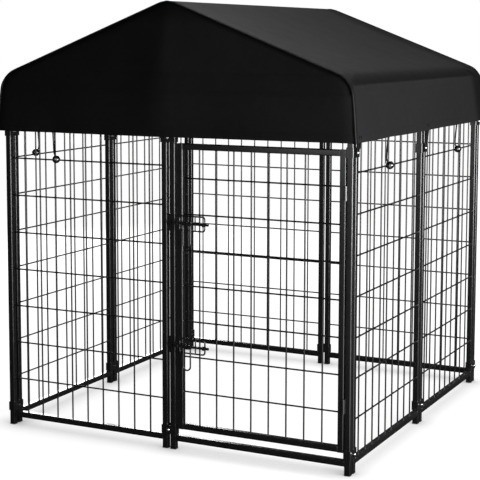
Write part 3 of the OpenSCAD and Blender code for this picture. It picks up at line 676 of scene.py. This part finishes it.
def gablePoint(index, inset, face):  # a gable's point, a level inset in from its edge
    x, z, nx = profile[index][:3]
    s = lengths[index]
    reach = max(0.0, x - inset)
    t = reach / max(x, 1e-6)
    deep = min(1.0, inset * slant(nx) / 0.009)
    deep = deep * deep * (3 - 2 * deep)
    low = nearHem(s)
    away = math.hypot(reach, 0.012) - 0.012
    fold = 0.8 * (1 - away / max(x, 0.05)) + 0.2 * math.exp(-away / 0.07)  # soft fold below the ridge
    fold *= (1 - t ** 6) * min(1.0, x / 0.50) * (1 - 0.5 * low)
    down = 1 - clamp((s - bendStart) / 0.08)  # 1 on the drops, 0 on the rakes
    turn = 1 - max(0.0, 1 - inset / cover["cornerWidth"]) ** 2
    share = 1.0 if face < 0 else cover["rearShare"]  # the rear gable hangs flatter
    out = share * (cover["cornerTurn"] * turn * down + cover["gableBulge"] * fold)
    onRake = s > bendStart
    out -= cover["gableRecess"] * deep * (1 if onRake else 0.3)
    if onRake:
        out -= cover["rakeGroove"] * bump(inset * slant(nx), 0.006, 0.004)
    return reach, z, deep, low, out


def roofColumns():  # places along the roof, with close rows for the groove at each seam
    near = [0.0, 0.004, 0.008, 0.012, 0.015, 0.018, 0.021, 0.025, 0.031]
    middle = cover["halfY"] - near[-1]
    ys = [-cover["halfY"] + d for d in near[:-1]]
    ys += [middle * (2 * k / cover["columns"] - 1) for k in range(cover["columns"] + 1)]
    return ys + [cover["halfY"] - d for d in near[-2::-1]]


# Where shade is painted into the cloth's colour: each distance is followed by the width that it fades over
shading = {"eave": (0.012, 0.045), "eaveEnds": 0.05, "rear": (0.125, 0.055), "rearShare": 0.9,
           "ridgeEnds": (0.012, 0.006), "rake": (0.017, 0.008), "peak": (0.075, 0.06)}


def fadeIn(distance, ends):  # 1 at the edge, 0 past the given distance
    return clamp((ends[0] - distance) / ends[1])


def roofShade(index, y):  # painted shade: a dark band at the eave crease, in the groove by the piping, along the roof's edges beside the gables and at the rear ends
    past = lengths[index] - bendStart - cover["creaseRise"]
    inside = cover["halfY"] - abs(y)
    band = clamp(inside / shading["eaveEnds"]) * (bump(past, *shading["eave"]) if past >= 0 else 0.0)
    if y > 0:
        band = max(band, shading["rearShare"] * fadeIn(inside, shading["rear"]))
    if past < 0.03:
        return max(band, bump(inside, cover["pipingGroove"], cover["grooveWidth"]))
    return max(band, fadeIn(inside, shading["ridgeEnds"]))


def addRoof(shape, uvs, shades):
    rows = len(profile)
    ys = roofColumns()
    across = len(ys)
    strips = [(i, 1) for i in range(rows)] + [(i, -1) for i in range(rows - 2, -1, -1)]
    for index, side in strips:
        for y in ys:
            shape.points.append(tuple(roofPoint(index, y, side)))
            uvs.append((side * (halfLength - lengths[index]), y))
            shades.append(roofShade(index, y))
    for r in range(len(strips) - 1):
        for k in range(across - 1):
            a = r * across + k
            shape.faces.append((a, a + across, a + across + 1, a + 1))


def gableInsets(index):  # close to the edge first, then evenly to the middle
    near = [0.0, 0.002, 0.0045, 0.008, 0.0115, 0.018, 0.034, 0.062]
    x, nx = profile[index][0], profile[index][2]
    steps = [d / slant(nx) * min(1.0, x / 0.10) for d in near]
    steps = [d for d in steps if d < x * 0.6]
    while len(steps) < len(near):
        steps.append(steps[-1] + (x * 0.62 - steps[-1]) * 0.12)
    return steps + [steps[-1] + (x - steps[-1]) * k / 13 for k in range(1, 14)]


def addGable(shape, uvs, shades, face):
    rows = len(profile)
    base = len(shape.points)
    for index in range(rows - 1):
        edgeX, nx = profile[index][0], profile[index][2]
        half = gableInsets(index)
        width = 2 * len(half) - 1
        for side, order in ((1, half), (-1, half[-2::-1])):
            edge = roofPoint(index, face * cover["halfY"], side)
            for d in order:
                reach, z, deep, low, out = gablePoint(index, d, face)
                y = cover["halfY"] + out + deep * gableWave(side * reach, z, low, face)
                if index < hemRow:
                    y += deep * cover["hemThick"]
                blend = max(0.0, 1 - d / 0.03)  # meets the roof's edge
                back = frontLean(z) if face < 0 else 0.0
                p = Vector((side * reach + (edge.x - side * edgeX) * blend, face * y + back,
                            z + (edge.z - z) * blend))
                shape.points.append(tuple(p))
                uvs.append((p.x, 3.0 * face + p.z))
                rim = d * slant(nx) if lengths[index] > bendStart else 1.0
                peak = fadeIn(profile[-1][1] - z, shading["peak"])
                shades.append(max(fadeIn(rim, shading["rake"]), peak))  # painted shade along the rakes and at the top of the gable
    crest = len(shape.points)
    apex = roofPoint(rows - 1, face * cover["halfY"], 1)
    shape.points.append(tuple(apex))
    uvs.append((0.0, 3.0 * face + apex.z))
    shades.append(0.0)
    top = crest - width
    faces = []
    for a in range(base, top, width):
        faces += [(a + k, a + k + 1, a + k + width + 1, a + k + width) for k in range(width - 1)]
    faces += [(top + k, top + k + 1, crest) for k in range(width - 1)]
    shape.faces += faces if face > 0 else [f[::-1] for f in faces]


def buildCover():
    shape = Shape()
    uvs, shades = [], []
    addRoof(shape, uvs, shades)
    for face in (-1, 1):
        addGable(shape, uvs, shades, face)
    mesh = shape.mesh("coverSheet")
    # the painted shade of each point, which the cloth finish mixes into its colour
    mesh.attributes.new("paintedClothShade", "FLOAT", "POINT").data.foreach_set("value", shades)
    layer = mesh.uv_layers.new(name="clothMetres")
    for corner in mesh.loops:
        layer.data[corner.index].uv = uvs[corner.vertex_index]
    return mesh


def joinSeams(mesh):  # sews the gables to the roof along their shared edge
    work = bmesh.new()
    work.from_mesh(mesh)
    bmesh.ops.remove_doubles(work, verts=work.verts, dist=0.0004)
    bmesh.ops.recalc_face_normals(work, faces=work.faces)
    work.to_mesh(mesh)
    work.free()


coverMesh = buildCover()
joinSeams(coverMesh)
coverSheet = makePiece("coverSheet", coverMesh, coverCloth, "kennel", sharp=62)
thick = coverSheet.modifiers.new("clothThickness", "SOLIDIFY")
thick.thickness = cover["cloth"]
thick.offset = -1.0
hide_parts("cover_roof_sheet", "cover_front_gable", "cover_rear_gable")


def seamPath(face, outward):
    path = []
    for side, order in ((1, range(len(profile))), (-1, range(len(profile) - 2, -1, -1))):
        for index in order:
            p = roofPoint(index, face * cover["halfY"], side)
            nx, nz = profile[index][2:]
            path.append(p + Vector((side * nx, 0, nz)) * outward)
    return path


def evenSteps(path, pitch):
    out = [path[0]]
    carry = 0.0
    for a, b in zip(path, path[1:]):
        length = (b - a).length
        at = pitch - carry
        while at <= length:
            out.append(a.lerp(b, at / length))
            at += pitch
        carry = (carry + length) % pitch if length < at else length - (at - pitch)
    return out


def stitchRow(shape, path):
    points = evenSteps(path, cover["stitchPitch"])
    full, fine = cover["thread"], cover["thread"] * 0.35
    for a, b in zip(points, points[1:]):
        mid, along = (a + b) / 2, (b - a) * 0.36
        sweep(shape, [mid + along * k for k in (-1, -0.5, 0.5, 1)], [fine, full, full, fine], 5)


def hemLine(half):  # even places along a hem, clear of its corners
    ends = cover["hemEnds"]
    return [-half + ends + (2 * half - 2 * ends) * i / 60 for i in range(61)]


def gableHemPoint(x, face):
    z = cover["hemZ"] + cover["hemFold"] - 0.0015
    _, rowZ, _, low, out = gablePoint(hemRow, cover["halfX"] - abs(x), face)
    y = cover["halfY"] + out + gableWave(x, rowZ, low, face) + 0.0001
    return Vector((x, face * y + (frontLean(z) if face < 0 else 0.0), z))


pipingShape, stitchShape = Shape(), Shape()
plump = [1 - clamp((s - bendStart) / 0.07) for s in lengths]  # round on the drops, flat on the rakes
plump += plump[-2::-1]
thickness = [cover["piping"] * (0.30 + 0.70 * f) for f in plump]
for face in (-1, 1):
    rope = [p + Vector((0, 0, -0.0016 * (1 - f))) for p, f in zip(seamPath(face, -0.0006), plump)]
    sweep(pipingShape, rope, thickness, 10)
    stitchRow(stitchShape, [p - Vector((0, face * cover["seamStitch"], 0)) for p in seamPath(face, 0.0)])
    stitchRow(stitchShape, [gableHemPoint(x, face) for x in hemLine(cover["halfX"])])
for side in (-1, 1):
    path = [roofPoint(hemRow, y, side) for y in hemLine(cover["halfY"])]
    stitchRow(stitchShape, [p + Vector((side * 0.0002, 0, 0)) for p in path])
piping = makePiece("coverPiping", pipingShape, pipingVinyl, "kennel", sharp=0)
stitching = makePiece("coverStitching", stitchShape, coverCloth, "kennel", sharp=0)
print("cover made, profile length %.3f m" % (2 * halfLength))

# Ball bungees: two elastic strands from inside the hem down to the ball, which sits on the level wire
bungee = {"ball": 0.026, "cord": 0.0038, "spread": 0.005, "aside": -0.011, "ballOut": 0.0083, "ballZ": 0.8989,
          "drop": ((0.0115, 1.006), (0.0065, 0.984), (0.0035, 0.955), (0.0015, 0.924)),  # outward, height
          "turnIn": 0.72, "turnAt": (0.0025, 0.9115), "endAt": (-0.0040, 0.0030, 0.0075), "endSpread": 0.0018,
          "parting": 0.00025, "mouth": 0.88,
          "hole": ((0.0056, 0.0), (0.0046, 0.0002), (0.0042, 0.0022), (0.0001, 0.0024))}  # radius, depth
ballShape, tieShape = Shape(), Shape()


def tieSpot(where, along):  # a tie's own frame, at its place along a wall
    spots = {"front": (along, -halfDepth, 0), "right": (halfWidth, along, 90),
             "left": (-halfWidth, along, -90), "back": (along, halfDepth, 180)}
    return wallSpot(*spots[where])


def turnedBall(shape, place, radius):  # moulded ball with a parting line and a recessed hole for the cord
    section = []
    for i in range(25):
        a = -math.pi / 2 + math.pi * i / 24
        r = radius * math.cos(a)
        z = radius * math.sin(a)
        if abs(i - 12) < 1:
            r += bungee["parting"]
        section.append((max(r, 0.0001), z))
    mouth = radius * bungee["mouth"]
    section = [(r, z) for r, z in section if z < mouth]
    section += [(r, mouth - depth) for r, depth in bungee["hole"]]
    rings = [[place @ Vector((r * math.cos(t), r * math.sin(t), z)) for t in
              [2 * math.pi * k / 28 for k in range(28)]] for r, z in section]
    loft(shape, rings, caps=True)


for spot in [tieSpot(where, along) for where, places in tieAlong.items() for along in places]:
    ballMiddle = Vector((0, -bungee["ballOut"], bungee["ballZ"]))
    turnedBall(ballShape, spot @ Matrix.Translation(ballMiddle), bungee["ball"] / 2)
    for side in (-1, 1):  # down from the hem beside the ball, then in behind it
        across = bungee["aside"] + side * bungee["spread"] / 2
        route = [Vector((across, -outward, z)) for outward, z in bungee["drop"]]
        turnOut, turnZ = bungee["turnAt"]
        endX, endIn, endUp = bungee["endAt"]
        route += [Vector((across * bungee["turnIn"], -turnOut, turnZ)),
                  ballMiddle + Vector((endX + side * bungee["endSpread"], endIn, endUp))]
        sweep(tieShape, [spot @ p for p in smoothCurve(route, 6)], bungee["cord"] / 2, 8)
balls = makePiece("bungeeBalls", ballShape, ballPlastic, "kennel", sharp=50)
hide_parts("tie_balls")
tieCords = makePiece("bungeeCords", tieShape, elasticCord, "kennel", sharp=0)
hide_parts("tie_cords")

# Hem loops: elastic bights from inside the hem, hooked under the heads of the clamp bolts
loop = {"cord": 0.0060, "bend": 0.0080, "neckOut": 0.0042, "middleOut": 0.0095, "hemOut": 0.0135,
        "hemZ": 1.004}
loopShape = Shape()


def loopLeg(z, side):  # one strand, from the hem down
    return [Vector((side * loop["bend"] * 0.9, -loop["hemOut"], loop["hemZ"])),
            Vector((side * loop["bend"], -loop["middleOut"], (z + loop["hemZ"]) / 2))]


for where, places in loopAlong.items():
    for along, z in places:
        spot = tieSpot(where, along)
        bight = [Vector((loop["bend"] * math.cos(a), -loop["neckOut"], z + loop["bend"] * math.sin(a)))
                 for a in [math.pi + math.pi * k / 8 for k in range(9)]]
        path = loopLeg(z, -1) + bight + loopLeg(z, 1)[::-1]
        sweep(loopShape, [spot @ p for p in smoothCurve(path, 4)], loop["cord"] / 2, 8)
hemLoops = makePiece("hemLoopCords", loopShape, elasticCord, "kennel", sharp=0)
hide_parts("hem_loops")
print("ties made")

# Finishes of the pieces that come straight from the construction
finishOf = {"clamp_bolts": zincPlate, "clamp_nuts": zincPlate, "foot_caps": capPlastic,
            "top_plugs": capPlastic}
softEdges = {"clamp_nuts": 0.0015, "clamp_outer_plates": 0.0006, "clamp_inner_plates": 0.0006,
             "hinge_frame_leaves": 0.0003, "hinge_door_leaves": 0.0003, "upper_keeper": 0.0004,
             "lower_keeper": 0.0004, "foot_caps": 0.0005}
for name, node in nodes.items():
    if node.hide_render:
        continue
    coat = finishOf.get(name, powderCoat)
    if not node.data.materials:
        node.data.materials.append(coat)
    for i in range(len(node.data.materials)):
        node.data.materials[i] = coat
    if name in softEdges:
        edge = node.modifiers.new("softEdge", "BEVEL")
        edge.width = softEdges[name]
        edge.segments = 2
        edge.limit_method = "ANGLE"
        edge.angle_limit = math.radians(40)
        edge.harden_normals = False
print("construction pieces finished")

# Studio: a white floor that keeps the shadow, a room that is white to the camera and white to gloss only
# towards the front right, and soft lamps; half of the key stays out of gloss, so tube corners don't glare
studio = {"floor": 0.28, "near": 0.93, "fadeFrom": 1.3, "fadeTo": 3.0, "ambient": 0.018, "dimRoom": 0.03,
          "contact": 0.09, "halfSize": 60.0, "below": 0.0004, "skew": 0.28, "floorSide": (0.80, 1.15),
          "floorFront": (0.55, 0.90), "roomSide": (0.0, 0.25), "roomFront": (-0.1, 0.25),
          "roomTop": (0.25, 0.6)}
key = {"aim": (0, -0.2, 0.75), "size": (2.8, 1.4)}
lamps = {"keyStrip": dict(key, place=(3.5, -0.8, 0.9), watts=115.0, gloss=False),
         "keyEdge": dict(key, place=(3.4, -0.78, 0.9), watts=105.0),
         "frontFlash": {"place": (2.8, -4.6, 1.6), "aim": (0, 0, 0.8), "size": (0.5, 0.5), "watts": 8.0},
         "leftPanel": {"place": (-0.85, -4.3, 0.8), "aim": (0.3, 0, 0.8), "size": (0.8, 0.42), "watts": 0.85},
         "topSoftbox": {"place": (0, 0.05, 2.7), "aim": (0, 0.05, 0.5), "size": (1.2, 1.2), "watts": 31.0},
         "rearFill": {"place": (-3.2, 3.2, 1.3), "aim": (0, 0, 0.9), "size": (2.6, 1.4), "watts": 70.0}}


def ramp(tree, value, low, high, x, y, first=0.0):  # soft step from a first level to 1
    node = addNode(tree, "ShaderNodeMapRange", x, y, interpolation_type="SMOOTHSTEP")
    plug(tree, node, {"Value": value, "From Min": low, "From Max": high, "To Min": first})
    return node.outputs["Result"]


def frontRight(tree, place, side, front, dim):  # white towards the front right, dim all round it
    axes = axesOf(tree, place, -1500, 200)
    skew = mathNode(tree, "MULTIPLY", -1350, 150, axes["Y"], studio["skew"])
    across = mathNode(tree, "SUBTRACT", -1200, 200, axes["X"], skew)
    ahead = mathNode(tree, "MULTIPLY", -1200, 0, axes["Y"], -1.0)
    both = mathNode(tree, "MULTIPLY", -850, 100, ramp(tree, across, *side, -1050, 200),
                    ramp(tree, ahead, *front, -1050, 0))
    return mathNode(tree, "MAXIMUM", -700, 100, both, dim)


def makeFloor(s):
    mesh = bpy.data.meshes.new("studioFloor")
    r = s["halfSize"]
    mesh.from_pydata([(-r, -r, 0), (r, -r, 0), (r, r, 0), (-r, r, 0)], [], [(0, 1, 2, 3)])
    floor = bpy.data.objects.new("studioFloor", mesh)
    scene.collection.objects.link(floor)
    floor.location.z = -s["below"]
    settings = {"Roughness": 0.9, "Specular IOR Level": 0.0, "Emission Color": (1.0, 1.0, 1.0, 1.0)}
    material, tree, shader = startMaterial("studioFloor", settings)
    rays = addNode(tree, "ShaderNodeLightPath", -400, 0).outputs
    where = addNode(tree, "ShaderNodeTexCoord", -900, -400).outputs["Object"]
    bright = frontRight(tree, where, s["floorSide"], s["floorFront"], s["dimRoom"])
    gloss = mathNode(tree, "MULTIPLY", -300, 100, rays["Is Glossy Ray"], bright)
    seen = mathNode(tree, "MAXIMUM", -200, 0, rays["Is Camera Ray"], gloss)
    seen = mathNode(tree, "MAXIMUM", -50, -100, seen, rays["Is Transmission Ray"])
    reach = plug(tree, addNode(tree, "ShaderNodeVectorMath", -700, -400, operation="LENGTH"), {0: where})
    fade = ramp(tree, reach.outputs["Value"], s["fadeFrom"], s["fadeTo"], -500, -400, s["near"])
    close = addNode(tree, "ShaderNodeAmbientOcclusion", -500, -700, samples=8)  # shade beside rails and feet
    plug(tree, close, {"Distance": s["contact"]})
    lift = mathNode(tree, "MULTIPLY", -50, -500, fade, close.outputs["AO"])
    colour = tint(tree, rays["Is Glossy Ray"], (s["floor"],) * 3, (0.0, 0.0, 0.0), 0, 300)
    plug(tree, shader, {"Base Color": colour,  # gloss sees the floor by its own light only
                        "Emission Strength": mathNode(tree, "MULTIPLY", 150, -100, seen, lift)})
    mesh.materials.append(material)


def makeWorld(s):
    world = bpy.data.worlds.new("studioRoom")
    scene.world = world
    world.use_nodes = True
    tree = world.node_tree
    rays = addNode(tree, "ShaderNodeLightPath", -600, 0).outputs
    seen = mathNode(tree, "MAXIMUM", -450, 0, rays["Is Camera Ray"], rays["Is Glossy Ray"])
    seen = mathNode(tree, "MAXIMUM", -330, -100, seen, rays["Is Transmission Ray"])
    where = addNode(tree, "ShaderNodeTexCoord", -1700, -400).outputs["Generated"]
    high = ramp(tree, axesOf(tree, where, -1100, -500)["Z"], *s["roomTop"], -1000, -500)
    room = frontRight(tree, where, s["roomSide"], s["roomFront"], 0.0)
    room = mathNode(tree, "MULTIPLY", -700, -400, room, mathNode(tree, "SUBTRACT", -850, -500, 1.0, high))
    room = mathNode(tree, "MAXIMUM", -600, -300, room, s["dimRoom"])
    room = mathNode(tree, "MAXIMUM", -450, -400, room, rays["Is Camera Ray"])
    level = addNode(tree, "ShaderNodeMix", -200, 0, data_type="FLOAT")
    plug(tree, level, {"Factor": seen, "A": s["ambient"], "B": room})
    plug(tree, tree.nodes["Background"], {"Color": (1.0, 1.0, 1.0, 1.0), "Strength": level.outputs["Result"]})


def softLamp(name, l):
    data = bpy.data.lights.new(name, "AREA")
    data.shape = "RECTANGLE"
    data.size, data.size_y = l["size"]
    data.energy = l["watts"]
    lamp = bpy.data.objects.new(name, data)
    scene.collection.objects.link(lamp)
    lamp.location = l["place"]
    lamp.rotation_mode = "QUATERNION"
    lamp.rotation_quaternion = (Vector(l["aim"]) - Vector(l["place"])).to_track_quat("-Z", "Y")
    lamp.visible_camera = False
    lamp.visible_glossy = l.get("gloss", True)


makeFloor(studio)
makeWorld(studio)
for name, settings in lamps.items():
    softLamp(name, settings)
scene.view_settings.view_transform = "Standard"
print("studio made")

bpy.context.view_layer.update()
